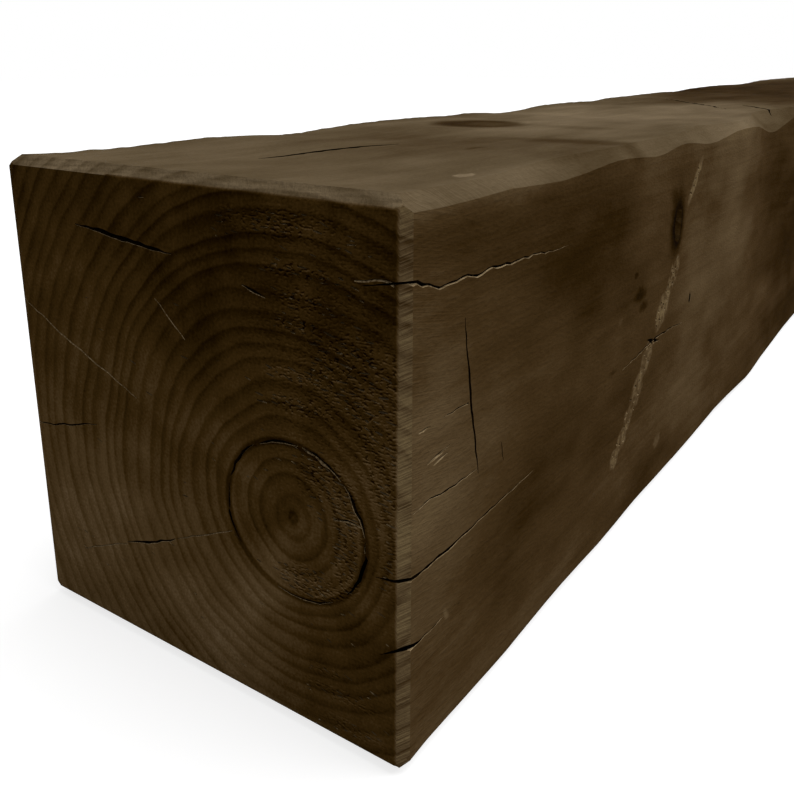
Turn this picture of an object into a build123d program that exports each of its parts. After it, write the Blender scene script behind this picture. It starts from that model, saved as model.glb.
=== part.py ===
from build123d import *
import os
from dataclasses import dataclass
from math import cos, pi, sin

# Rough-hewn timber beam: one sawn length of softwood with its front, its top and its long edges hewn.
# Frame: +X along the beam from the near end to the far end, -Y the hewn front, +Y the sawn back, +Z up.
# The origin is the centre of the sawn underside. All sizes are in millimetres.

# Sawn stock
LENGTH = 1500.0
WIDTH = 153.0
HEIGHT = 159.6
END_BEVEL = 3.0  # taken off the front, the top and the foot of each sawn end, and not off its back

# Hewing of the top, with its fall towards the near end
TOP_FALL = 5.2
FALL_STARTS = 300.0
FALL_ENDS = 1150.0
TOP_HOLLOW = 0.8
TOP_PITCH = 118.0
TOP_PHASE = 0.9

# Hewing of the front: its upper edge in strokes, and its foot nearly straight
FRONT_HEWN = 3.0  # how far in from the sawn width it lies at the near end
FRONT_HOLLOW = 1.2
FRONT_PITCH = 165.0
FRONT_PHASE = 0.2
FOOT_TUCK = 0.7  # how far its foot lies further in there
FOOT_DRIFT = 1.6  # how far its foot has drifted out again where the drift ends
DRIFT_REACH = 360.0

# Unevenness of the tool's strokes
STROKE_SLANT = 26.0  # how far along the beam a stroke strays on its way across a face
STROKE_SWAY = 0.9  # how far a stroke strays from even spacing, as a phase
SWAY_STROKES = 2.7  # how many strokes the straying takes to repeat

# How closely the long edges follow the hewing
STATION_PITCH = 15.0  # spacing of the outlines that the long edges run through
FEWEST_SPANS = 8  # on a short beam
BAY_SPANS = 8  # how many of those spans one face covers, apart from the single one at each end

# The flat sides, by the corner of the outline that each starts from
SAWN_BACK = 5
SAWN_UNDERSIDE = 7

# Knot that has dropped out of the front
KNOT_HOLE_ALONG = 204.0
KNOT_HOLE_UP = 117.0
KNOT_HOLE_WIDTH = 9.0
KNOT_HOLE_HEIGHT = 15.0
KNOT_HOLE_DEPTH = 7.0
KNOT_HOLE_FLOOR = 0.7  # size of its floor against its mouth

# How a drying check closes towards its floor
FLOOR_SHARE = 0.12  # width of the floor against the mouth
FLOOR_PULL = 0.2  # how far the floor draws in from each tip, as a share of its length
CUT_PROUD = 2.0  # how far a cutter stands out of the face that it enters


@dataclass(frozen=True)
class Scoop:
    """A deeper stroke of the tool: its place from the near end, its half length and its depth."""

    at: float
    reach: float
    depth: float

    def bite(self, along):
        """Depth of the stroke at a distance along the beam."""
        share = (along - self.at) / self.reach
        return self.depth * cos(pi / 2 * share) ** 2 if abs(share) < 1 else 0.0


@dataclass(frozen=True)
class Wane:
    """A long edge taken off with a drawknife: flat across the corner and uneven along it."""

    drop: float  # how far it reaches over the upright face
    inset: float  # how far it reaches over the level face
    ripple: float
    pitch: float
    phase: float
    scoops: tuple = ()

    def at(self, along):
        """The inset and the drop at a distance along the beam."""
        cut = self.ripple * stroke(along, self.pitch, self.phase)
        cut += sum(scoop.bite(along) for scoop in self.scoops)
        return self.inset + cut, self.drop + cut


@dataclass(frozen=True)
class Check:
    """A drying check: an open crack with closed tips that narrows towards its floor.

    Each point of its path is a place on its face. On the front and the back that is the distance from
    the near end, then the height. On the top it is the distance from the near end, then from the front.
    On the near end it is the distance from the front, then the height. A path that starts beyond the
    near end leaves the check open there. lean moves its floor along the second of the two.
    """

    face: str
    path: tuple
    width: float
    depth: float
    lean: float = 0.0


TOP_FRONT_WANE = Wane(
    drop=3.6,
    inset=3.8,
    ripple=0.6,
    pitch=74.0,
    phase=0.6,
    scoops=(
        Scoop(84.0, 42.0, 2.0),
        Scoop(166.0, 38.0, 1.8),
        Scoop(250.0, 50.0, 3.3),
        Scoop(394.0, 62.0, 7.4),
        Scoop(700.0, 80.0, 3.4),
        Scoop(910.0, 60.0, 2.2),
        Scoop(1130.0, 95.0, 3.6),
    ),
)
TOP_BACK_WANE = Wane(
    drop=2.4,
    inset=3.0,
    ripple=1.2,
    pitch=86.0,
    phase=2.4,
    scoops=(Scoop(327.0, 52.0, 1.9), Scoop(905.0, 70.0, 2.4)),
)
LOW_FRONT_WANE = Wane(
    drop=2.8,
    inset=3.2,
    ripple=1.1,
    pitch=101.0,
    phase=3.6,
    scoops=(Scoop(640.0, 66.0, 2.2), Scoop(1010.0, 84.0, 2.8)),
)
LOW_BACK_WANE = Wane(drop=2.2, inset=2.4, ripple=1.2, pitch=97.0, phase=4.1)

FRONT_SCOOPS = (Scoop(392.0, 92.0, 3.8), Scoop(820.0, 110.0, 2.6), Scoop(1240.0, 100.0, 2.8))
FOOT_SCOOPS = (Scoop(600.0, 90.0, 1.2), Scoop(980.0, 120.0, 2.0), Scoop(1330.0, 90.0, 1.6))
FOOT_SWELL = Scoop(366.0, 88.0, 2.1)  # where the tool left the foot proud, by that much
TOP_SCOOPS = (Scoop(330.0, 60.0, 1.2), Scoop(640.0, 90.0, 1.6), Scoop(1080.0, 110.0, 1.8))
BACK_EDGE_SCOOPS = (
    Scoop(48.0, 30.0, 0.7),
    Scoop(130.0, 44.0, 1.8),
    Scoop(250.0, 30.0, 0.6),
    Scoop(322.0, 50.0, 2.4),
    Scoop(464.0, 34.0, 1.1),
    Scoop(664.0, 44.0, 1.2),
    Scoop(900.0, 120.0, 1.5),
)

CHECKS = (
    Check("front", ((-6, 136), (18, 131), (45, 130), (100, 128)), width=1.5, depth=12.0, lean=-2.6),
    Check("front", ((-4, 59), (24, 58), (79, 60)), width=0.7, depth=7.0, lean=-1.6),
    Check("front", ((-6, 41), (10, 39), (28, 38)), width=1.6, depth=6.5, lean=-4.6),
    Check("front", ((28, 120), (32, 96), (37, 73)), width=0.9, depth=5.0),
    Check("front", ((147, 70), (185, 73), (222, 70)), width=0.8, depth=5.0),
    Check("top", ((41, 82), (70, 78), (101, 71)), width=1.7, depth=10.0),
    Check("top", ((407, 36), (452, 66), (510, 108)), width=1.2, depth=7.0),
    Check("top", ((411, 11), (430, 24), (451, 37)), width=1.1, depth=6.0),
    Check("near_end", ((118, 136), (97, 134), (77, 132)), width=1.3, depth=10.0),
    Check("near_end", ((107, 34), (95, 38), (84, 43)), width=0.8, depth=7.0),
    Check("back", ((-6, 65), (22, 65), (70, 66)), width=1.0, depth=33.0, lean=6.5),
)


def stroke(along, pitch, phase):
    """Unevenly spaced tool strokes: 0 on a ridge between two of them and 1 at the bottom of one."""
    sway = STROKE_SWAY * sin(2 * pi * along / (SWAY_STROKES * pitch) + phase)
    return 0.5 - 0.5 * cos(2 * pi * along / pitch + sway + phase)


def eased(along, start, stop):
    """How far a slow change has come at a distance along the beam: 0 until start and 1 from stop."""
    share = min(max((along - start) / (stop - start), 0.0), 1.0)
    return share * share * (3 - 2 * share)


def back_height(along):
    """Height of the hewn top beside the back, at a distance along the beam."""
    fall = TOP_FALL * (1 - eased(along, FALL_STARTS, FALL_ENDS))
    return HEIGHT - fall - sum(scoop.bite(along) for scoop in BACK_EDGE_SCOOPS)


def top_height(along):
    """Height of the hewn top beside the front, at a distance along the beam."""
    fall = TOP_FALL * (1 - eased(along, FALL_STARTS, FALL_ENDS))
    hollow = TOP_HOLLOW * stroke(along, TOP_PITCH, TOP_PHASE)
    return HEIGHT - fall - hollow - sum(scoop.bite(along) for scoop in TOP_SCOOPS)


def front_place(along):
    """Place across the beam of the hewn front at its upper edge."""
    hollow = FRONT_HOLLOW * stroke(along, FRONT_PITCH, FRONT_PHASE)
    return FRONT_HEWN - WIDTH / 2 + hollow + sum(scoop.bite(along) for scoop in FRONT_SCOOPS)


def foot_place(along):
    """Place across the beam of the hewn front at its foot."""
    drift = FOOT_DRIFT * eased(along, 0.0, DRIFT_REACH)
    scooped = sum(scoop.bite(along) for scoop in FOOT_SCOOPS)
    return FRONT_HEWN + FOOT_TUCK - WIDTH / 2 - drift + scooped - FOOT_SWELL.bite(along)


def front_at(along, up):
    """Place across the beam of the hewn front at a distance along it and a height."""
    share = up / top_height(along)
    return foot_place(along) * (1 - share) + front_place(along) * share


def corner(wane, along, side, level):
    """The two ends of a wane, on its level face and on its upright face, each as (across, up)."""
    inset, drop = wane.at(along)
    on_level = (side - inset if side > 0 else side + inset, level)
    on_upright = (side, level - drop if level > 0 else level + drop)
    return on_level, on_upright


def outline(along):
    """The eight corners of the section at one station, from the underside's front edge round over the top."""
    early, late = along - STROKE_SLANT / 2, along + STROKE_SLANT / 2
    back = WIDTH / 2
    front_low = corner(LOW_FRONT_WANE, along, foot_place(along), 0.0)
    front_high = corner(TOP_FRONT_WANE, along, front_place(late), top_height(early))
    back_high = corner(TOP_BACK_WANE, along, back, back_height(along))
    back_low = corner(LOW_BACK_WANE, along, back, 0.0)
    return (*front_low, *reversed(front_high), *back_high, *reversed(back_low))


def hewn_stock():
    """The hewn beam with square ends: ruled hewn faces and wanes, and a flat back, underside and ends."""
    spans = max(FEWEST_SPANS, round(LENGTH / STATION_PITCH))
    shares = [i / spans for i in range(spans + 1)]
    rings = [[(LENGTH * (share - 0.5), *place) for place in outline(LENGTH * share)] for share in shares]
    long_edges = [Edge.make_spline(list(points), parameters=shares) for points in zip(*rings)]

    breaks = [0, *range(1, spans - 1, BAY_SPANS), spans - 1, spans]
    faces = [Face(Wire.make_polygon(rings[0])), Face(Wire.make_polygon(rings[-1]))]
    for low, high in zip(breaks, breaks[1:]):
        pieces = [edge.trim(shares[low], shares[high]) for edge in long_edges]
        for number, edge in enumerate(pieces):
            following = pieces[(number + 1) % len(pieces)]
            if number in (SAWN_BACK, SAWN_UNDERSIDE):
                ends = [Edge.make_line(edge @ end, following @ end) for end in (0, 1)]
                faces.append(Face(Wire([edge, ends[1], following, ends[0]])))
            else:
                faces.append(Face.make_surface_from_curves(edge, following))
    return Solid(Shell(faces))


def end_bevel(along):
    """What a bevel takes off one sawn end: a slab over the end, less the tapering end that stays."""
    station = along - LENGTH / 2
    inwards = 1 if along < LENGTH / 2 else -1

    def rectangle(depth, inset, proud):
        """The section at a depth in from the end, drawn in by inset, and standing proud of the back."""
        back = WIDTH / 2 + proud
        corners = [
            (foot_place(along) + inset, inset),
            (back, inset),
            (back, back_height(along) - inset),
            (front_place(along) + inset, top_height(along) - inset),
        ]
        return Wire.make_polygon([(station + inwards * depth, *point) for point in corners])

    outer, inner = -CUT_PROUD, END_BEVEL + CUT_PROUD
    slab = [rectangle(depth, -inner, CUT_PROUD) for depth in (outer, inner)]
    end = [rectangle(depth, END_BEVEL - depth, 2 * CUT_PROUD) for depth in (outer, inner)]
    return Solid.make_loft(slab, ruled=True) - Solid.make_loft(end, ruled=True)


def check_frame(check):
    """How a check's path points become places on its face, its inward direction and its lean direction."""
    near, near_front = -LENGTH / 2, FRONT_HEWN - WIDTH / 2
    middle, level = check.path[len(check.path) // 2]
    if check.face == "front":
        front = front_at(middle, level)
        return lambda a, b: Vector(near + a, front, b), Vector(0, 1, 0), Vector(0, 0, 1)
    if check.face == "back":
        return lambda a, b: Vector(near + a, WIDTH / 2, b), Vector(0, -1, 0), Vector(0, 0, 1)
    if check.face == "top":
        top = top_height(middle)
        return lambda a, b: Vector(near + a, near_front + b, top), Vector(0, 0, -1), Vector(0, 1, 0)
    return lambda a, b: Vector(near, near_front + a, b), Vector(1, 0, 0), Vector(0, 0, 1)


def check_cutter(check):
    """The space inside a drying check, from a little outside its face down to its floor."""
    place, inwards, lean_way = check_frame(check)
    points = [place(*point) for point in check.path]
    first, last = points[0], points[-1]
    across = (last - first).cross(inwards).normalized()
    middle = (first + last) / 2

    def lens(level, width, pull):
        """A lens round the path, level deep, with its tips drawn in by pull."""
        shift = inwards * level + lean_way * (check.lean * level / check.depth)
        drawn = [point + (middle - point) * (2 * pull) + shift for point in points]
        inner = drawn[1:-1]
        sides = [point + across * (width / 2) for point in inner]
        sides += [drawn[-1]] + [point - across * (width / 2) for point in reversed(inner)]
        return Wire.make_polygon([drawn[0], *sides])

    floor_width = check.width * FLOOR_SHARE
    flare = (check.width - floor_width) / check.depth
    return Solid.make_loft(
        [
            lens(check.depth, floor_width, FLOOR_PULL),
            lens(-CUT_PROUD, check.width + flare * CUT_PROUD, 0.0),
        ],
        ruled=True,
    )


def knot_hole():
    """The tapering hole that a dead knot has left in the front."""
    front = front_at(KNOT_HOLE_ALONG, KNOT_HOLE_UP)

    def oval(level, share):
        """The hole's outline at a level in from the front, as a share of its mouth."""
        plane = Plane(
            origin=(KNOT_HOLE_ALONG - LENGTH / 2, front + level, KNOT_HOLE_UP),
            x_dir=(1, 0, 0),
            z_dir=(0, 1, 0),
        )
        return (plane * Ellipse(KNOT_HOLE_WIDTH / 2 * share, KNOT_HOLE_HEIGHT / 2 * share)).wire()

    flare = 1 + (1 - KNOT_HOLE_FLOOR) * CUT_PROUD / KNOT_HOLE_DEPTH
    return Solid.make_loft([oval(-CUT_PROUD, flare), oval(KNOT_HOLE_DEPTH, KNOT_HOLE_FLOOR)], ruled=True)


def timber_beam():
    """The finished beam: hewn, sawn, bevelled at its ends, checked and with its knot hole."""
    beam = hewn_stock() - end_bevel(0.0) - end_bevel(LENGTH)
    for check in CHECKS:
        beam -= check_cutter(check)
    return beam - knot_hole()


def main():
    """Write the beam's one solid."""
    os.makedirs("parts", exist_ok=True)
    export_step(timber_beam(), "parts/timber_beam.step")


if __name__ == "__main__":
    main()
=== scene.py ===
"""A rough-hewn timber beam, dressed: one softwood timber with its hewn skin, drying cracks and dark stain.

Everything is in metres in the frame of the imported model: +X runs along the beam from the near end to the far
end, -Y is the hewn front, +Y the sawn back, +Z is up, and the origin is the middle of the underside. Places on
the timber are written in millimetres from its near end, from the near end's front and up from its underside.
"""

import logging
import math
import random
from collections.abc import Callable, Iterator
from contextlib import contextmanager
from dataclasses import dataclass, field
from enum import Enum
from functools import partial

import bpy
import numpy as np
from mathutils import Matrix, Vector, noise


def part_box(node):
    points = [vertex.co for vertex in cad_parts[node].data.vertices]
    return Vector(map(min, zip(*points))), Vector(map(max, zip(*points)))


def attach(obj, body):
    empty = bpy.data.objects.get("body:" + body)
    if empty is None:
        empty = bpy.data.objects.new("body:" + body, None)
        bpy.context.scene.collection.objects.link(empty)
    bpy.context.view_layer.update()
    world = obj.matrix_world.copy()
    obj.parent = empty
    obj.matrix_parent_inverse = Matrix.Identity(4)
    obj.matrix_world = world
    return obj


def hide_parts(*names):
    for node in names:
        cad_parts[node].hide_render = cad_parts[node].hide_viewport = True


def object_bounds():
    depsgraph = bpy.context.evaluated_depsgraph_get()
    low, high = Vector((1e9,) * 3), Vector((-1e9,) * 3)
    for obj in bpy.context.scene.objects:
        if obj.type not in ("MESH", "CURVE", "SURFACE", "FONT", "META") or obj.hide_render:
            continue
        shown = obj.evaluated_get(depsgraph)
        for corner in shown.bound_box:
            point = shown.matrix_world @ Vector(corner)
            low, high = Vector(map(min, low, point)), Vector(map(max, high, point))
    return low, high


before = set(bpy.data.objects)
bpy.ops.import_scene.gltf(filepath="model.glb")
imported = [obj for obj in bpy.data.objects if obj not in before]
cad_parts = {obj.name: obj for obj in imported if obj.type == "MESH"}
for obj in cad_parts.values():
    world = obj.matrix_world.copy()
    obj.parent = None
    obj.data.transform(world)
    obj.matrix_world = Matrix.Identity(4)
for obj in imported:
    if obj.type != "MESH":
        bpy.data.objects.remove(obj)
CAD_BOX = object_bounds()

LOG = logging.getLogger("timber_beam")
MM = 0.001
SEED = 41
BODY = "root"
TIMBER_NODE = "timber_beam"

NEAR_FRONT = 3.0  # millimetres that the near end's front lies in from the foot's swell
PITH_FROM_FRONT = 36.6
PITH_UP = 65.6
# The ring shake round the heart: its middle's shift from the pith, and its reach across and up
HEART_SHIFT = (-0.4, -1.3)
HEART_REACH = (23.9, 22.7)
STREAK_TURN = 46.0  # degrees that the streak across the front leans from the line along the beam


class Face(Enum):
    """A face of the timber, by the direction that it looks in."""

    FRONT = "front"
    BACK = "back"
    TOP = "top"
    NEAR_END = "near end"


class Wood(Enum):
    """What a face of the mesh shows, as its material index."""

    SKIN = 0
    # Torn wood, partly a painted highlight on the lower edges that face the light
    TORN = 1
    # The inside of cracks and pits, painted nearly black as their shade
    DEPTH = 2


class Area(Enum):
    """An area of the skin that has its own marks."""

    END = "sawn ends"
    SIDE = "everything but the ends"
    TOP = "top"
    BEVEL = "bevel round the ends"
    BY_TOP = "bevel along the top"
    UPRIGHT = "bevel down the sides"
    WANE = "top front edge near the end"
    NEAR = "sides beside the near end"
    RIGHT = "front half of the ends"
    SAWN = "sawn back and underside"


def linear(hex_colour: str) -> tuple[float, float, float, float]:
    """Turns an sRGB hex colour to linear.

    Args:
        hex_colour: six hex digits, such as "60513c".

    Returns:
        Linear red, green and blue, and an alpha of one.
    """
    shares = [int(hex_colour[i : i + 2], 16) / 255 for i in (0, 2, 4)]
    return (*[s / 12.92 if s <= 0.04045 else ((s + 0.055) / 1.055) ** 2.4 for s in shares], 1.0)


def put(
    tree: bpy.types.NodeTree, kind: str, *values, inputs: dict | None = None, stops=(), **settings
) -> bpy.types.Node:
    """Adds a node with its settings and links.

    Args:
        tree: the tree that gets the node.
        kind: the node's type, without the prefix that all of them share.
        values: values, nodes or sockets for its first inputs, in order. A node stands for its first output.
        inputs: the same for other inputs, by name or number.
        stops: places and colours or grey levels of a colour ramp.
        settings: inputs by name where it starts with a capital, and else the node's own properties.

    Returns:
        The new node.
    """
    node = tree.nodes.new(f"ShaderNode{kind}")
    sockets = {**dict(enumerate(values)), **(inputs or {})}
    for name, value in settings.items():
        if name[0].isupper():
            sockets[name] = value
        else:
            setattr(node, name, value)
    for socket, value in sockets.items():
        if isinstance(value, bpy.types.Node):
            value = value.outputs[0]
        if isinstance(value, bpy.types.NodeSocket):
            tree.links.new(value, node.inputs[socket])
        else:
            node.inputs[socket].default_value = value
    for index, (place, colour) in enumerate(stops):
        elements = node.color_ramp.elements
        stop = elements[index] if index < 2 else elements.new(place)
        stop.position = place
        stop.color = linear(colour) if isinstance(colour, str) else (colour, colour, colour, 1.0)
    return node


def new_tree(name: str) -> tuple[bpy.types.Material, bpy.types.NodeTree]:
    """Starts a material with an empty node tree.

    Args:
        name: the material's name.

    Returns:
        The material and its tree.
    """
    material = bpy.data.materials.new(name)
    material.use_nodes = True
    material.node_tree.nodes.clear()
    return material, material.node_tree


def deselect() -> None:
    """Leaves nothing selected."""
    bpy.ops.object.select_all(action="DESELECT")


def pick(piece: bpy.types.Object) -> None:
    """Selects one piece alone and makes it the active one."""
    deselect()
    piece.select_set(True)
    bpy.context.view_layer.objects.active = piece


@contextmanager
def editing(everything: bool = True) -> Iterator[None]:
    """Works on the active mesh in edit mode, on its edges.

    Args:
        everything: whether all of it is selected first. Otherwise what is selected stays so.

    Yields:
        Once, in edit mode.
    """
    bpy.ops.object.mode_set(mode="EDIT")
    bpy.ops.mesh.select_mode(type="EDGE")
    if everything:
        bpy.ops.mesh.select_all(action="SELECT")
    yield
    bpy.ops.object.mode_set(mode="OBJECT")


def subdivide(piece: bpy.types.Object, chosen: list[bool] | np.ndarray, cuts: int) -> None:
    """Divides the chosen edges of the active mesh.

    Args:
        piece: the mesh's object.
        chosen: for each edge whether it is divided.
        cuts: how many cuts it gets.
    """
    with editing(everything=False):
        bpy.ops.mesh.select_all(action="DESELECT")
    piece.data.edges.foreach_set("select", chosen)
    with editing(everything=False):
        bpy.ops.mesh.subdivide(number_cuts=cuts)


@dataclass(frozen=True)
class Patch:
    """A spot, knot or band that is darker or paler than the rest: most lie in the wood, and some are painted
    light and shade.

    The sizes are half axes of an ellipsoid in millimetres, so the patch shows on each face that it reaches.
    turn is in degrees about the line across the beam. speckle is how much of it fine gaps break up.
    """

    along: float
    from_front: float
    up: float
    size: tuple[float, float, float]
    tone: float
    soft: float = 0.5
    turn: float = 0.0
    speckle: float = 0.0


def near_end_patches(*rows: tuple) -> tuple[Patch, ...]:
    """Places patches on the near end.

    Args:
        rows: for each patch its place from the front and up, its half size across and up, its tone, and its
            softness where that differs.

    Returns:
        The patches.
    """
    return tuple(Patch(0, first, up, (8, across, rise), *look) for first, up, across, rise, *look in rows)


# Near end: darker in the upper right, about the pith and along the right side, and paler low on the left.
# The fall from pale low down to dark high up is partly painted light from the floor.
END_TONE_AND_FLOOR_LIGHT = near_end_patches(
    (22, 140, 58, 40, -0.13, 0.8),
    (128, 150, 62, 34, -0.13, 0.8),
    (118, 18, 70, 48, 0.17, 0.9),
    (66, 30, 30, 24, 0.06, 0.8),
    (84, 94, 26, 30, -0.09, 0.8),
    (10, 96, 14, 26, 0.07, 0.8),
    (6, 84, 20, 52, -0.05, 0.7),
    (14, 12, 52, 26, -0.07, 0.7),
    (36.6, 65.6, 2.6, 3.0, -0.1, 0.6),
    (34, 62, 15, 14, -0.05, 0.7),
)

# Near end: where the saw has crumbled the earlywood, which is drawn there with painted shade and highlight
TORN_PATCHES = near_end_patches(
    (20, 112, 30, 44, 0.42, 0.9),
    (25, 79, 8, 5, 1.0),
    (18.5, 68, 4, 9, 1.0),
    (18.5, 55, 4, 7, 1.0),
    (31, 47.5, 10, 4.5, 1.0),
    (14, 109, 12, 8, 0.9, 0.8),
    (7, 94, 6, 13, 0.9, 0.8),
    (32, 98, 9, 2.2, 0.8),
    (34, 105.6, 8, 1.8, 0.7),
    (33, 119.4, 6, 1.8, 0.7),
    (31, 126, 7, 2.4, 0.7),
    (33, 133.4, 9, 1.8, 0.7),
    (40, 144.5, 17, 3.0, 0.7, 0.8),
    (5, 70, 4, 16, 0.5, 0.8),
    (26, 22.5, 6, 1.8, 0.6),
    (21, 16.5, 12, 2.0, 0.6),
    (18, 7.4, 10, 2.0, 0.6),
)

# The pale streak across the grain of the front, thin over the knot and broad and broken under it: along, up,
# half length, half width, tone, softness and speckle
STREAK_PATCHES = (
    (225, 132.5, 12, 2.4, 0.34, 0.35, 0.45),
    (203, 95.5, 9, 5.0, 0.34, 0.25, 0.8),
    (191, 83, 9.5, 5.6, 0.36, 0.22, 0.65),
    (174.5, 66.5, 8.5, 4.8, 0.30, 0.25, 0.6),
    (165, 55.5, 8, 5.6, 0.34, 0.22, 0.6),
    (157, 46.6, 4.4, 4.4, 0.32, 0.25, 0.65),
    (151.5, 40, 5.2, 4.2, 0.33, 0.25, 0.6),
    (144.5, 34, 3.8, 4.0, 0.36, 0.25, 0.5),
)

SIDE_PATCHES = (
    # Front: paler beside the near end, a dark reach, a hollow made paler with painted light and a hollow behind
    # it made darker with painted shade
    Patch(0, 0, 104, (52, 20, 56), 0.13, soft=0.8),
    Patch(0, 0, 40, (44, 20, 50), 0.07, soft=0.8),
    Patch(14, 0, 146, (30, 20, 12), -0.13, soft=0.8),
    Patch(100, 0, 108, (74, 20, 50), -0.10, soft=0.8),
    Patch(142, 0, 90, (34, 20, 34), -0.06, soft=0.8),
    # Painted light on the lit side of a hollow
    Patch(262, 0, 128, (44, 20, 34), 0.15, soft=0.8),
    Patch(240, 0, 62, (34, 20, 44), 0.06, soft=0.8),
    Patch(316, 0, 96, (34, 20, 70), 0.13, soft=0.8),
    # Painted shade in the hollow behind it
    Patch(462, 0, 68, (70, 20, 90), -0.20, soft=0.7),
    Patch(252, 0, 117, (26, 20, 7), -0.10, soft=0.8, turn=13),
    # The dropped knot with its dark rim and the small knot over it
    Patch(203, 0, 118, (8.5, 9, 13), -0.34, soft=0.55),
    Patch(204, 0, 116, (6.5, 9, 9.5), -0.2, soft=0.4),
    Patch(195, 0, 130, (4.5, 5, 3.4), -0.14, soft=0.6),
    # Small dark knots and holes in the front
    Patch(161.5, 0, 96, (6.0, 4, 2.6), -0.24, soft=0.6),
    Patch(166, 0, 90.5, (4.2, 4, 2.0), -0.2, soft=0.6),
    Patch(155, 0, 105, (2.2, 3, 1.1), -0.18, soft=0.6),
    Patch(136, 0, 72, (3.0, 3, 1.0), -0.14, soft=0.6),
    *(
        Patch(along, 0, up, (half, 6, wide), tone, soft, -STREAK_TURN, speckle)
        for along, up, half, wide, tone, soft, speckle in STREAK_PATCHES
    ),
    # Flecks of paler torn wood on the front
    Patch(197.5, 0, 21.8, (4.0, 3, 3.0), 0.2, soft=0.4, speckle=0.3),
    Patch(20.7, 0, 38.2, (1.0, 3, 2.0), 0.2, soft=0.5, turn=-30),
    Patch(141, 0, 90, (2.2, 3, 1.6), 0.1, soft=0.6),
    # Top: paler by the near end, a dark knot with the grain drawn round it, and a pale reach behind it
    Patch(0, 75, 154, (70, 90, 14), 0.09, soft=0.9),
    Patch(204, 97, 154, (20, 20, 9), -0.45, soft=0.3),
    Patch(207, 94, 154, (10, 10, 9), 0.14, soft=0.6),
    Patch(148, 20, 154, (9, 32, 6), -0.17, soft=0.7),
    Patch(100, 42, 154, (56, 34, 7), -0.10, soft=0.8),
    Patch(212, 52, 154, (7, 22, 6), -0.12, soft=0.7),
    Patch(98, 11, 154, (12, 6, 6), -0.08, soft=0.7),
    Patch(330, 70, 155, (150, 60, 12), 0.21, soft=0.7),
    Patch(190, 4, 151, (150, 9, 8), 0.08, soft=0.7),
    Patch(790, 70, 158, (330, 110, 14), -0.36, soft=0.5),
    Patch(44, 11.5, 154, (4.6, 2.2, 4), 0.36, soft=0.3, speckle=0.3),
    Patch(36, 3, 152, (46, 6, 5), 0.13, soft=0.7),
    Patch(102, 41, 154, (6.0, 1.6, 4), -0.14, soft=0.5),
)

# Knots that push the rings aside: place, reach and push in millimetres
KNOTS = (((204, 0, 118), 26, 7.0), ((206, 98, 154), 46, 9.0))


@dataclass(frozen=True)
class Layer:
    """A pattern of the stain, and for each area its share in the tone and in the relief."""

    draw: Callable
    shows: tuple[tuple[Area, float, float], ...]


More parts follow.
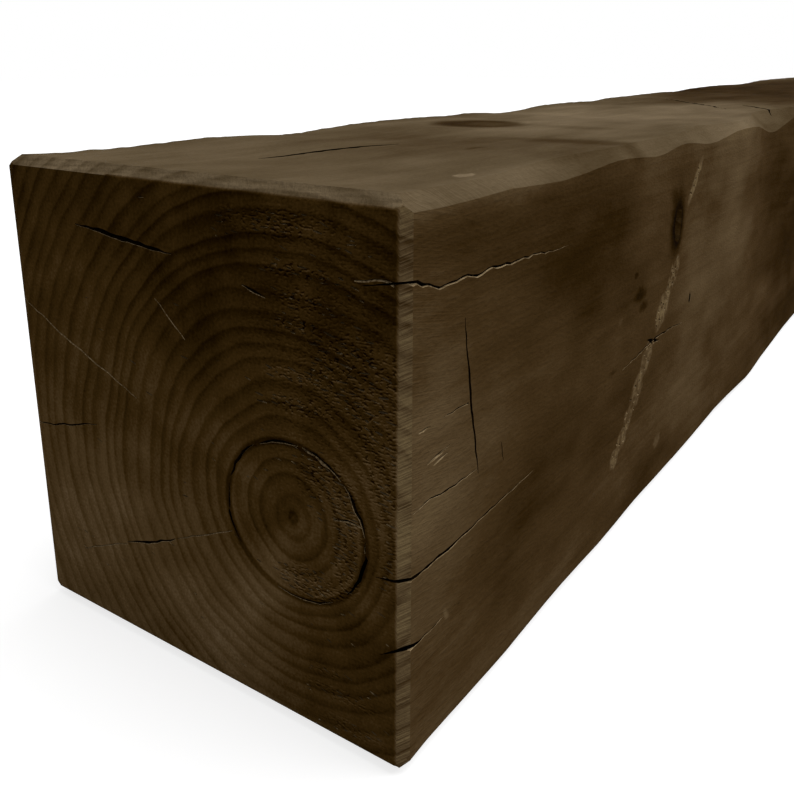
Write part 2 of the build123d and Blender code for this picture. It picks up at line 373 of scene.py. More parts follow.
@dataclass(frozen=True)
class StainedSoftwood:
    """Fast-grown softwood, sawn and hewn, under a dark walnut stain.

    The stain is matt. It lies deepest in the end grain, which turns it nearly black, keeps a warm brown on the
    front and is worn paler and greyer on the top. The rings show as soft dark lines about 5 mm apart.
    """

    name: str = "dark_stained_hewn_softwood"
    ring_spacing: float = 5.0
    ring_sway: float = 8.0
    saw_pitch: float = 0.8
    stroke_reach: float = 11.0
    # The rings' slow sway along, across and up, and how uneven the years are: pattern size and strength
    sway_size: tuple = (240, 38, 38)
    year_scale: float = 0.41
    year_strength: tuple = (0.6, 1.1)
    shake_width: tuple = (0.07, 0.02)
    # The ragged edge of a patch, and the fine gaps in it: pattern sizes and where a gap starts and is whole
    patch_sway: float = 3.0
    patch_fray: float = 0.35
    gap_scale: float = 0.34
    gap_share: tuple = (0.56, 0.42)
    relief_depth: float = 0.25
    relief_strength: float = 0.8
    gloss: float = 0.006
    # Wood is rougher where the stain lies thick than where it has worn pale: tones, then roughness
    matt: tuple = (0.2, 0.8, 0.96, 0.8)
    # How much paler the stain has worn, by area
    worn: tuple = ((Area.UPRIGHT, 0.24), (Area.BY_TOP, 0.15), (Area.END, 0.05))
    # Stain on the hewn front, the top and the end grain, by these shares of the tone: the darkest and the most
    # worn first, then those between them
    stain_places: tuple = (0.0, 1.0, 0.15, 0.3, 0.5, 0.7)
    side_stain: tuple = ("100600", "84704e", "221502", "332209", "4b381f", "635036")
    top_stain: tuple = ("241603", "84735a", "33240f", "41321d", "554732", "695a44")
    end_stain: tuple = ("080300", "927c5e", "170a00", "2d1d03", "493415", "665032")
    # Through one ring, its start and its end first: how far the earlywood has turned to dark latewood there
    late_places: tuple = (0.0, 1.0, 0.1, 0.45, 0.75, 0.88, 0.95)
    late_shares: tuple = (0.35, 0.35, 0.0, 0.12, 0.75, 1.0, 0.75)
    # How far a face must look along the beam, up, back or down for a mask to start and to be full
    end_faces: tuple = (0.8, 0.95)
    bevel_faces: tuple = (0.35, 0.6)
    top_faces: tuple = (0.35, 0.75)
    back_faces: tuple = (0.9, 0.97)
    foot_faces: tuple = (-0.9, -0.97)
    # Where a mask starts and where it is full: millimetres from the near end, from the front and from the pith
    beside_end: tuple = (44.0, 4.0)
    hewn_near: tuple = (150.0, 60.0)
    wane_depth: tuple = (9.0, 4.0)
    front_half: tuple = (30.0, -30.0)
    # The direction across the saw's strokes: on the sides, and where an area differs from them
    stroke_way: tuple = (0.2, 0.0, 1.0)
    stroke_ways: tuple = (
        (Area.TOP, (0.7, 0.25, 0.0)),
        (Area.BEVEL, (-0.55, 0.0, 1.0)),
        (Area.END, (0.0, 0.06, 1.0)),
    )
    # Specks of crumbled wood, painted as tiny pits: their size, where one starts and is whole in the pattern
    # and in its patch, how far the pale edge of painted highlight lies under the dark painted shade, and the
    # tones of both
    speck_size: tuple = (2.5, 1.7, 0.55)
    speck_share: tuple = (0.53, 0.62)
    speck_patch: tuple = (0.1, 0.9)
    speck_lift: float = 0.45
    speck_shade_and_highlight: tuple = (-0.26, 0.20)

    def material(self) -> bpy.types.Material:
        """Builds the material.

        Returns:
            The finished material.
        """
        material, tree = new_tree(self.name)
        coordinates = put(tree, "TexCoord")
        pith = Vector(CAD_BOX[0]) + MM * Vector((0, NEAR_FRONT + PITH_FROM_FRONT, PITH_UP))
        from_pith = self.measured(tree, coordinates.outputs["Object"], (MM, MM, MM), pith)
        masks = self.masks(tree, from_pith)
        tone, height = 0.5, 0.0
        for area, share in self.worn:
            tone = put(tree, "Math", masks[area], share, tone, operation="MULTIPLY_ADD")
        # The renderer has room for few values at once, so each pattern is used up before the next is drawn
        for layer in self.layers(masks):
            pattern = layer.draw(tree, from_pith)
            for area, share, rise in layer.shows:
                shown = put(tree, "Math", pattern, masks[area], operation="MULTIPLY")
                tone = put(tree, "Math", shown, share, tone, operation="MULTIPLY_ADD")
                if rise:
                    height = put(tree, "Math", shown, rise, height, operation="MULTIPLY_ADD")
        ramps = [
            put(tree, "ValToRGB", tone, stops=zip(self.stain_places, stain))
            for stain in (self.side_stain, self.top_stain, self.end_stain)
        ]
        colour = put(tree, "MixRGB", masks[Area.TOP], ramps[0], ramps[1])
        colour = put(tree, "MixRGB", masks[Area.END], colour, ramps[2])
        bump = put(
            tree, "Bump", Height=height, Distance=self.relief_depth * MM, Strength=self.relief_strength
        )
        rough = put(tree, "MapRange", tone, *self.matt)
        surface = put(
            tree, "BsdfPrincipled",
            inputs={"Base Color": colour, "Roughness": rough, "Specular IOR Level": self.gloss, "Normal": bump}
        )
        put(tree, "OutputMaterial", surface)
        return material

    def layers(self, masks: dict[Area, bpy.types.Node]) -> tuple[Layer, ...]:
        """Lists the patterns of the stain, with where each shows in the tone and how much of it stands up.

        Args:
            masks: the areas of the timber.

        Returns:
            The patterns in the order in which they are drawn.
        """
        fibres = partial(self.cloud, size=(56.0, 1.8, 1.8), detail=3.0)
        broad = partial(self.cloud, size=(95.0, 40.0, 40.0), detail=3.0)
        mottle = partial(self.cloud, size=(24.0, 12.0, 12.0), detail=3.0)
        grain = partial(self.cloud, size=(2.4, 0.9, 0.9), detail=2.0)
        band_saw = partial(self.cloud, size=(1.5, 60.0, 60.0), detail=1.0)
        knots, spots = partial(self.patches, patches=SIDE_PATCHES), partial(self.patches, patches=END_TONE_AND_FLOOR_LIGHT)
        strokes = partial(self.strokes, masks=masks)
        return (
            Layer(fibres, ((Area.SIDE, 0.025, 0.35),)),
            Layer(broad, ((Area.SIDE, 0.20, 0.0), (Area.END, 0.12, 0.0))),
            Layer(mottle, ((Area.SIDE, 0.07, 0.0), (Area.END, 0.09, 0.0))),
            Layer(grain, ((Area.SIDE, 0.035, 0.5), (Area.END, 0.08, 0.5))),
            Layer(band_saw, ((Area.SAWN, 0.10, 0.6),)),
            # The side patches: knots, streak and stain, with painted light and shade on the front's hollows
            Layer(knots, ((Area.SIDE, 1.0, 0.0),)),
            # The near end's tone, partly painted light from the floor that pales it low down
            Layer(spots, ((Area.END, 1.0, 0.0),)),
            # Crumbled earlywood, drawn as painted shade in tiny pits with a painted highlight on their lower
            # edges
            Layer(self.torn_grain_shade_and_highlight, ((Area.END, 1.0, 0.0),)),
            Layer(self.shake, ((Area.END, -0.24, 0.0),)),
            Layer(self.rings, ((Area.END, -0.15, 0.0), (Area.SIDE, -0.03, 0.0), (Area.BEVEL, -0.18, 0.0))),
            Layer(
                strokes,
                (
                    (Area.UPRIGHT, 0.16, 0.5),
                    (Area.BY_TOP, 0.05, 0.0),
                    (Area.WANE, 0.05, 0.2),
                    (Area.NEAR, 0.035, 0.22),
                    (Area.RIGHT, 0.03, 0.12),
                ),
            ),
        )

    def measured(
        self, tree: bpy.types.NodeTree, places: bpy.types.Node, size: tuple, centre=(0, 0, 0)
    ) -> bpy.types.Node:
        """Measures places from a centre, in units that differ by axis.

        Args:
            tree: the material's tree.
            places: the places.
            size: the unit along each axis.
            centre: the place to measure from.

        Returns:
            The node that gives the measured places.
        """
        scale = tuple(1 / unit for unit in size)
        shift = tuple(-middle / unit for middle, unit in zip(centre, size))
        return put(tree, "VectorMath", places, scale, shift, operation="MULTIPLY_ADD")

    def masks(self, tree: bpy.types.NodeTree, from_pith: bpy.types.Node) -> dict[Area, bpy.types.Node]:
        """Tells the areas of the timber apart by their place and by the way they face.

        Args:
            tree: the material's tree.
            from_pith: millimetres from the pith at the near end.

        Returns:
            For each area the node that is one on it and nought elsewhere.
        """
        place = put(tree, "SeparateXYZ", from_pith)
        normal = put(tree, "SeparateXYZ", put(tree, "NewGeometry").outputs["Normal"])
        along, across = place.outputs["X"], place.outputs["Y"]
        towards_end = put(tree, "Math", normal.outputs["X"], operation="ABSOLUTE")
        end = put(tree, "MapRange", towards_end, *self.end_faces)
        side = put(tree, "Math", 1.0, end, operation="SUBTRACT")
        tilted = put(tree, "MapRange", towards_end, *self.bevel_faces)
        bevel = put(tree, "Math", tilted, side, operation="MULTIPLY")
        top = put(tree, "MapRange", normal.outputs["Z"], *self.top_faces)
        by_top = put(tree, "Math", bevel, top, operation="MULTIPLY")
        sawn_back = put(tree, "MapRange", normal.outputs["Y"], *self.back_faces)
        sawn_foot = put(tree, "MapRange", normal.outputs["Z"], *self.foot_faces)
        by_end = put(tree, "MapRange", along, *self.beside_end)
        by_front = put(tree, "MapRange", across, *[depth - PITH_FROM_FRONT for depth in self.wane_depth])
        hewn_near = put(tree, "MapRange", along, *self.hewn_near)
        right = put(tree, "MapRange", across, *self.front_half)
        wane = put(tree, "Math", by_front, hewn_near, operation="MULTIPLY")
        return {
            Area.END: end,
            Area.SIDE: side,
            Area.TOP: top,
            Area.BEVEL: bevel,
            Area.BY_TOP: by_top,
            Area.UPRIGHT: put(tree, "Math", bevel, by_top, operation="SUBTRACT"),
            Area.WANE: put(tree, "Math", wane, top, operation="MULTIPLY"),
            Area.NEAR: put(tree, "Math", by_end, side, operation="MULTIPLY"),
            Area.RIGHT: put(tree, "Math", right, end, operation="MULTIPLY"),
            Area.SAWN: put(tree, "Math", sawn_back, sawn_foot, operation="MAXIMUM"),
        }

    def rings(self, tree: bpy.types.NodeTree, from_pith: bpy.types.Node) -> bpy.types.Node:
        """Draws the growth rings, which sway along the timber and part round its knots.

        Args:
            tree: the material's tree.
            from_pith: millimetres from the pith at the near end.

        Returns:
            The node that gives the latewood: one in it, nought in the earlywood.
        """
        slow = self.measured(tree, from_pith, self.sway_size)
        sway = put(tree, "TexNoise", Vector=slow, Scale=1.0, Detail=2.5)
        across = self.measured(tree, from_pith, (math.inf, 1, 1), (0, self.ring_sway / 2, self.ring_sway / 2))
        swayed = put(
            tree, "VectorMath", sway.outputs["Color"], (0, self.ring_sway, self.ring_sway), across,
            operation="MULTIPLY_ADD"
        )
        radius = put(tree, "VectorMath", swayed, operation="LENGTH").outputs["Value"]
        for (along, from_front, up), reach, push in KNOTS:
            knot = (along, from_front - PITH_FROM_FRONT, up - PITH_UP)
            gap = put(tree, "VectorMath", from_pith, knot, operation="DISTANCE")
            pushed = put(
                tree, "MapRange", gap.outputs["Value"], reach, 0.0, 0.0, push,
                interpolation_type="SMOOTHERSTEP"
            )
            radius = put(tree, "Math", radius, pushed, operation="ADD")
        count = put(tree, "Math", radius, self.ring_spacing, operation="DIVIDE")
        # Wet and dry years: a ring may be half as wide again as its neighbour, and its latewood fainter
        years = put(tree, "TexNoise", W=count, Scale=self.year_scale, Detail=0.0, noise_dimensions="1D")
        uneven = put(tree, "Math", years, 1.0, count, operation="MULTIPLY_ADD")
        part = put(tree, "Math", uneven, operation="FRACT")
        year = put(tree, "Math", uneven, operation="FLOOR")
        luck = put(tree, "TexWhiteNoise", W=year, noise_dimensions="1D")
        strength = put(tree, "MapRange", inputs={0: luck, 3: self.year_strength[0], 4: self.year_strength[1]})
        late = put(tree, "ValToRGB", part, stops=zip(self.late_places, self.late_shares))
        return put(tree, "Math", late, strength, operation="MULTIPLY")

    def shake(self, tree: bpy.types.NodeTree, from_pith: bpy.types.Node) -> bpy.types.Node:
        """Draws the stain that has crept into the ring shake round the heart.

        Args:
            tree: the material's tree.
            from_pith: millimetres from the pith at the near end.

        Returns:
            The node that gives the shake, one in it and nought beside it.
        """
        round_heart = self.measured(tree, from_pith, (math.inf, *HEART_REACH), (0, *HEART_SHIFT))
        reach = put(tree, "VectorMath", round_heart, operation="LENGTH")
        gap = put(tree, "Math", reach.outputs["Value"], 1.0, operation="SUBTRACT")
        width = put(tree, "Math", gap, operation="ABSOLUTE")
        return put(tree, "MapRange", width, *self.shake_width, interpolation_type="SMOOTHSTEP")

    def torn_grain_shade_and_highlight(self, tree: bpy.types.NodeTree, from_pith: bpy.types.Node) -> bpy.types.Node:
        """Draws the crumbled earlywood between the pits: dark specks of painted shade, each with a pale lower
        edge of painted highlight.

        Args:
            tree: the material's tree.
            from_pith: millimetres from the pith at the near end.

        Returns:
            The node that gives what the specks add to the tone.
        """
        where = self.patches(tree, from_pith, TORN_PATCHES)
        masked = put(tree, "MapRange", where, *self.speck_patch)
        holes = []
        for lift in (0.0, self.speck_lift):
            drawn = self.measured(tree, from_pith, self.speck_size, (0, 0, -lift))
            speck = put(tree, "TexNoise", Vector=drawn, Scale=1.0, Detail=2.0)
            holes.append(put(tree, "MapRange", speck, *self.speck_share))
        pale = put(tree, "Math", holes[1], holes[0], operation="SUBTRACT", use_clamp=True)
        shade_tone, highlight_tone = self.speck_shade_and_highlight
        # The speck's painted shade, and under it the painted highlight of its lower edge
        dark = put(tree, "Math", holes[0], shade_tone, operation="MULTIPLY")
        both = put(tree, "Math", pale, highlight_tone, dark, operation="MULTIPLY_ADD")
        return put(tree, "Math", both, masked, operation="MULTIPLY")

    def cloud(
        self, tree: bpy.types.NodeTree, from_pith: bpy.types.Node, size: tuple, detail: float
    ) -> bpy.types.Node:
        """Draws an uneven soft pattern: fibres when it is drawn out along the timber, else a mottle.

        Args:
            tree: the material's tree.
            from_pith: millimetres from the pith at the near end.
            size: how large its parts are along, across and up, in millimetres.
            detail: how much finer pattern lies in it.

        Returns:
            The node that gives the pattern, about nought.
        """
        drawn = self.measured(tree, from_pith, size)
        pattern = put(tree, "TexNoise", Vector=drawn, Scale=1.0, Detail=detail)
        return put(tree, "MapRange", pattern, 0.2, 0.8, -1.0, 1.0)

    def strokes(
        self, tree: bpy.types.NodeTree, from_pith: bpy.types.Node, masks: dict[Area, bpy.types.Node]
    ) -> bpy.types.Node:
        """Draws the fine parallel strokes that a saw has left.

        Args:
            tree: the material's tree.
            from_pith: millimetres from the pith at the near end.
            masks: the areas of the timber, whose strokes run in different directions.

        Returns:
            The node that gives the strokes, about nought.
        """
        across = self.stroke_way
        for area, direction in self.stroke_ways:
            across = put(
                tree, "Mix", inputs={0: masks[area], 4: across, 5: direction}, data_type="VECTOR"
            ).outputs[1]
        place = put(tree, "VectorMath", from_pith, across, operation="DOT_PRODUCT")
        fine = put(tree, "Math", place.outputs["Value"], self.saw_pitch, operation="DIVIDE")
        fine = put(tree, "CombineXYZ", fine, fine, fine)
        slow = (1 / self.stroke_reach,) * 3
        moved = put(tree, "VectorMath", from_pith, slow, fine, operation="MULTIPLY_ADD")
        pattern = put(tree, "TexNoise", Vector=moved, Scale=1.0, Detail=1.0)
        return put(tree, "MapRange", pattern, 0.25, 0.75, -1.0, 1.0)

    def patches(self, tree: bpy.types.NodeTree, from_pith: bpy.types.Node, patches: tuple) -> bpy.types.Node:
        """Adds up the knots, spots and bands, some of which are painted light and shade.

        Args:
            tree: the material's tree.
            from_pith: millimetres from the pith at the near end.
            patches: what to add up.

        Returns:
            The node that gives what they add to the tone.
        """
        shake = put(tree, "TexNoise", Vector=from_pith, Scale=self.patch_fray, Detail=2.0)
        fine = put(tree, "TexNoise", Vector=from_pith, Scale=self.gap_scale, Detail=2.0)
        gaps = put(tree, "MapRange", fine, *self.gap_share)
        sway = (self.patch_sway,) * 3
        ragged = put(tree, "VectorMath", shake.outputs["Color"], sway, from_pith, operation="MULTIPLY_ADD")
        turned = {0.0: ragged}
        total = None
        for patch in patches:
            turn = Matrix.Rotation(math.radians(-patch.turn), 3, "Y")
            if patch.turn not in turned:
                rows = (
                    put(tree, "VectorMath", ragged, tuple(row), operation="DOT_PRODUCT")
                    for row in turn
                )
                turned[patch.turn] = put(
                    tree, "CombineXYZ", inputs={axis: row.outputs["Value"] for axis, row in enumerate(rows)}
                )
            centre = Vector((patch.along, patch.from_front - PITH_FROM_FRONT, patch.up - PITH_UP))
            centre = turn @ (centre + Vector(sway) / 2)
            inside = self.measured(tree, turned[patch.turn], patch.size, centre)
            reach = put(tree, "VectorMath", inside, operation="LENGTH")
            amount = put(
                tree, "MapRange", reach.outputs["Value"], 1 + patch.soft, 1 - patch.soft, 0.0, patch.tone,
                interpolation_type="SMOOTHSTEP"
            )
            if patch.speckle:
                broken = put(tree, "Math", gaps, -patch.speckle, 1.0, operation="MULTIPLY_ADD")
                amount = put(tree, "Math", amount, broken, operation="MULTIPLY")
            total = amount if total is None else put(tree, "Math", total, amount, operation="ADD")
        return total


@dataclass(frozen=True)
class FibrousWood:
    """Bare or stained fibres in a break, dark to pale in lines along the timber.

    width is how wide a fibre is in millimetres and drawn_out how many times longer. The shares are where in the
    fibres' pattern the dark and the pale colour lie, and ridge is how far the fibres stand up, in millimetres.
    """

    name: str
    dark: str
    pale: str
    shares: tuple[float, float]
    width: float
    drawn_out: float
    roughness: float
    gloss: float
    detail: float = 2.0
    ridge: float = 0.0

    def material(self) -> bpy.types.Material:
        """Builds the material.

        Returns:
            The finished material.
        """
        material, tree = new_tree(self.name)
        coordinates = put(tree, "TexCoord")
        across = 1 / MM / self.width
        scaled = put(
            tree, "Mapping", Vector=coordinates.outputs["Object"],
            Scale=(across / self.drawn_out, across, across)
        )
        fibre = put(tree, "TexNoise", Vector=scaled, Scale=1.0, Detail=self.detail)
        dark_share, pale_share = self.shares
        colour = put(tree, "ValToRGB", fibre, stops=((dark_share, self.dark), (pale_share, self.pale)))
        relief = {}
        if self.ridge:
            relief["Normal"] = put(tree, "Bump", Height=fibre, Distance=self.ridge * MM)
        surface = put(
            tree, "BsdfPrincipled",
            inputs={"Base Color": colour, "Specular IOR Level": self.gloss, **relief},
            Roughness=self.roughness,
        )
        put(tree, "OutputMaterial", surface)
        return material


# Torn, unstained softwood at the lip of a crack: dry, pale and fibrous, so it catches the light there. Set only
# on the lower edges of cracks and pits, which face the light, it is partly a painted highlight
TORN_WOOD_AND_HIGHLIGHT = FibrousWood(
    "torn_dry_softwood_and_highlight", "5f4c30", "a08a68", (0.35, 0.62), 0.7, 5.0, 0.9, gloss=0.1, detail=3.0, ridge=0.2
)
# The inside of a drying crack and of a torn pit: nearly black brown, painted shade over the stain and dust that
# have pooled there, and dead matt
CRACK_DEPTH = FibrousWood(
    "stain_and_painted_shade_in_crack", "0c0602", "24180b", (0.4, 0.7), 1.25, 8.0, roughness=0.95, gloss=0.006
)


@dataclass(frozen=True)
class Crack:
    """A drying crack on a face of the timber, in millimetres.

    The path's points are along the beam and up on the front and the back, along and from the front on the top,
    and from the front and up on the near end. A path that starts off the timber runs out over its edge. lip is
    how broad and how deep the pale torn edge under the crack is, which is partly a painted highlight, and jag
    how far the crack strays.
    """

    face: Face
    path: tuple[tuple[float, float], ...]
    width: float
    depth: float
    lean: float = 0.0
    lip: tuple[float, float] = (0.05, 0.1)
    jag: float = 0.3


def round_heart(start: float, stop: float) -> tuple[tuple[float, float], ...]:
    """Follows the ring shake round the heart on the near end.

    Args:
        start: where to start, in degrees from straight left, turning over the top.
        stop: where to stop.

    Returns:
        Points from the front and up, in millimetres.
    """
    count = max(3, round((stop - start) / 12))
    turns = [math.radians(start + (stop - start) * step / count) for step in range(count + 1)]
    reach_across, reach_up = HEART_REACH
    return tuple(
        (
            PITH_FROM_FRONT + HEART_SHIFT[0] + reach_across * math.cos(turn),
            PITH_UP + HEART_SHIFT[1] + reach_up * math.sin(turn),
        )
        for turn in turns
    )


CRACKS = (
    # Front: the long upper crack with its pale lip, the two that run out over the near end, and the upright one
    Crack(Face.FRONT, ((-6, 136), (18, 131), (45, 130), (100, 128)), 1.1, 12.0, -2.6, (0.24, 0.35), jag=0.6),
    Crack(Face.FRONT, ((-4, 59), (24, 58), (79, 60)), 1.3, 7.0, lean=-1.2, lip=(0.05, 0.15)),
    Crack(Face.FRONT, ((-6, 41), (10, 39), (28, 38)), 2.4, 6.5, lean=-4.6, jag=0.5),
    Crack(Face.FRONT, ((28, 120), (32, 96), (37, 73)), 1.0, 5.0, lip=(0.1, 0.2)),
    Crack(Face.FRONT, ((147, 70), (185, 73), (222, 70)), 0.8, 5.0),
    # Hairlines and small splits in the front, and two small holes
    Crack(Face.FRONT, ((36, 74.5), (22, 75.2), (12, 76.5), (3.5, 76.3)), 0.7, 2.4, lip=(0.05, 0.15)),
    Crack(Face.FRONT, ((21, 87.8), (15, 87.6), (10, 86.9)), 0.8, 1.8, lip=(0.35, 0.4)),
    Crack(Face.FRONT, ((20, 85.9), (13, 85.4)), 0.6, 1.4, lip=(0.25, 0.3)),
    Crack(Face.FRONT, ((11.5, 96.6), (5.9, 96.7)), 0.55, 1.4, lip=(0.3, 0.3)),
    Crack(Face.FRONT, ((32, 96.3), (17.4, 96.5)), 0.55, 2.0, lip=(0.05, 0.15)),
    Crack(Face.FRONT, ((174.5, 74.6), (189.5, 70.4)), 2.0, 3.0),
    Crack(Face.FRONT, ((231.5, 82), (231, 75.5)), 3.6, 4.0),
    Crack(Face.FRONT, ((50.5, 77.5), (52, 71)), 0.5, 1.2),
    # Top
    Crack(Face.TOP, ((41, 82), (70, 78), (101, 71)), 3.4, 10.0, jag=0.5),
    Crack(Face.TOP, ((407, 36), (452, 66), (510, 108)), 3.4, 7.0, jag=0.8),
    Crack(Face.TOP, ((411, 11), (430, 24), (451, 37)), 3.4, 6.0, jag=0.8),
    # Near end: the dark check high on the left, the one low down with its pale ends, and the pale ray line
    Crack(Face.NEAR_END, ((118, 136), (97, 134), (77, 132)), 1.5, 10.0),
    Crack(Face.NEAR_END, ((107, 34), (95, 38), (84, 43)), 1.0, 7.0, lip=(0.12, 0.2)),
    Crack(Face.NEAR_END, ((130, 24), (118, 29), (107, 33.4)), 0.2, 0.8, lip=(0.22, 0.25)),
    Crack(Face.NEAR_END, ((83, 43.4), (72, 48.5), (59.5, 54)), 0.2, 0.8, lip=(0.22, 0.25)),
    Crack(Face.NEAR_END, ((149, 108.6), (131, 100), (114, 93), (96.4, 85.7)), 0.22, 0.9, lip=(0.3, 0.3)),
    Crack(Face.NEAR_END, ((85, 118.3), (79, 113), (73.7, 108.1)), 0.18, 0.6, lip=(0.2, 0.2)),
    Crack(Face.NEAR_END, ((51, 127.4), (47, 126), (43, 125)), 1.2, 2.0, lip=(0.12, 0.2)),
    Crack(Face.NEAR_END, ((22.5, 69.2), (18, 70.4), (13.2, 70)), 0.7, 2.0, lip=(0.25, 0.3)),
    # Near end: the pale torn lip under the front's upper crack, partly a painted highlight
    Crack(Face.NEAR_END, ((3.6, 134.4), (9, 134.8), (15, 133.6)), 0.25, 0.8, lip=(0.4, 0.4)),
    # Near end: the ring shake round the heart, open along its upper right and closing down its left
    Crack(Face.NEAR_END, round_heart(62, 96), 1.0, 2.2, lip=(0.08, 0.2), jag=0.45),
    Crack(Face.NEAR_END, round_heart(99, 133), 1.3, 2.4, lip=(0.1, 0.2), jag=0.5),
    Crack(Face.NEAR_END, round_heart(136, 172), 1.4, 2.4, lip=(0.12, 0.2), jag=0.5),
    Crack(Face.NEAR_END, round_heart(175, 222), 1.1, 2.2, lip=(0.1, 0.2), jag=0.4),
    Crack(Face.NEAR_END, round_heart(-34, 12), 0.8, 1.6, lip=(0.05, 0.15)),
    Crack(Face.NEAR_END, round_heart(18, 56), 1.0, 1.8, lip=(0.06, 0.15), jag=0.35),
    Crack(Face.NEAR_END, round_heart(238, 286), 0.8, 1.6, lip=(0.05, 0.15)),
    # Back: the crack that opens on the near end's left edge, and its thin line across the end
    Crack(Face.BACK, ((2, 65), (22, 65), (70, 66)), 0.6, 6.0, lip=(0.02, 0.1)),
    Crack(Face.NEAR_END, ((150.4, 65), (140, 66.5), (129, 69), (117, 72)), 0.75, 3.0, lip=(0.02, 0.1)),
)


@dataclass(frozen=True)
class Pit:
    """A small pit torn into a face, a flat lens: its place and its half sizes in millimetres."""

    face: Face
    first: float
    second: float
    half_length: float
    half_height: float
    depth: float
    slope: float

    def meets(self, other: "Pit") -> bool:
        """Tells whether another pit lies too close for a sliver of wood to stand between them."""
        along = abs(self.first - other.first) - self.half_length - other.half_length
        rise = abs(self.slope) * self.half_length + abs(other.slope) * other.half_length
        up = abs(self.second - other.second) - self.half_height - other.half_height - rise
        return along < 0.12 and up < 0.08


@dataclass(frozen=True)
class PitSizes:
    """The least and the most of a pit's half sizes, depth and slope, in millimetres."""

    half_length: tuple[float, float]
    half_height: tuple[float, float]
    depth: tuple[float, float]
    slope: tuple[float, float]

    def draw(self, face: Face, first: float, second: float, coarse: float, rng: random.Random) -> Pit:
        """Draws a pit by lot.

        Args:
            face: the face that it lies in.
            first: its place's first number on the face.
            second: its second number.
            coarse: how much larger than usual it is.
            rng: where the chance comes from.

        Returns:
            The pit.
        """
        half_length = rng.uniform(*self.half_length) * coarse
        half_height = rng.uniform(*self.half_height) * coarse
        depth, slope = rng.uniform(*self.depth), rng.uniform(*self.slope)
        return Pit(face, first, second, half_length, half_height, depth, slope)


@dataclass(frozen=True)
class TornBand:
    """A band of the near end's rings where the saw has torn fibres out and left small pits.

    The radius and the spread are in millimetres from the pith. The angles are in degrees from straight left,
    turning over the top. coarse is how much larger than usual the pits are.
    """

    radius: float
    spread: float
    start: float
    stop: float
    count: int
    coarse: float = 1.0


TORN_BANDS = (
    TornBand(18.6, 3.4, 92, 216, 200, coarse=1.15),
    TornBand(19.0, 3.4, 232, 290, 130, coarse=1.25),
    TornBand(10.5, 3.0, 130, 170, 16),
    TornBand(41.2, 1.4, 114, 150, 60, coarse=1.3),
    TornBand(48.0, 8.0, 100, 144, 240, coarse=1.35),
    TornBand(34.5, 3.4, 148, 200, 70, coarse=1.25),
    TornBand(33.0, 1.4, 72, 98, 34, coarse=1.2),
    TornBand(40.6, 1.4, 80, 106, 44, coarse=1.2),
    TornBand(54.0, 2.4, 86, 112, 36),
    TornBand(60.5, 2.4, 86, 116, 36),
    TornBand(68.4, 1.6, 82, 112, 36),
    TornBand(79.5, 3.0, 72, 106, 60),
    TornBand(44.8, 1.0, 246, 266, 18),
    TornBand(51.6, 1.2, 234, 268, 34),
    TornBand(62.2, 1.4, 240, 264, 30),
    TornBand(99.0, 4.0, -26, -20, 8),
    TornBand(60.0, 50.0, -60, 300, 90),
)

# The crusted stretches of the streak: middle along and up, half length, half width and count of gouges
STREAK = (
    (225, 132.5, 12, 1.2, 16),
    (203, 95.5, 8.5, 3.4, 26),
    (191, 83, 9, 4.0, 34),
    (174.5, 66.5, 7.5, 3.2, 22),
    (165, 55.5, 7.5, 4.0, 28),
    (157, 46.6, 4, 3.6, 14),
    (151.5, 40, 4.6, 3.4, 14),
    (144.5, 34, 3.2, 3.2, 10),
)


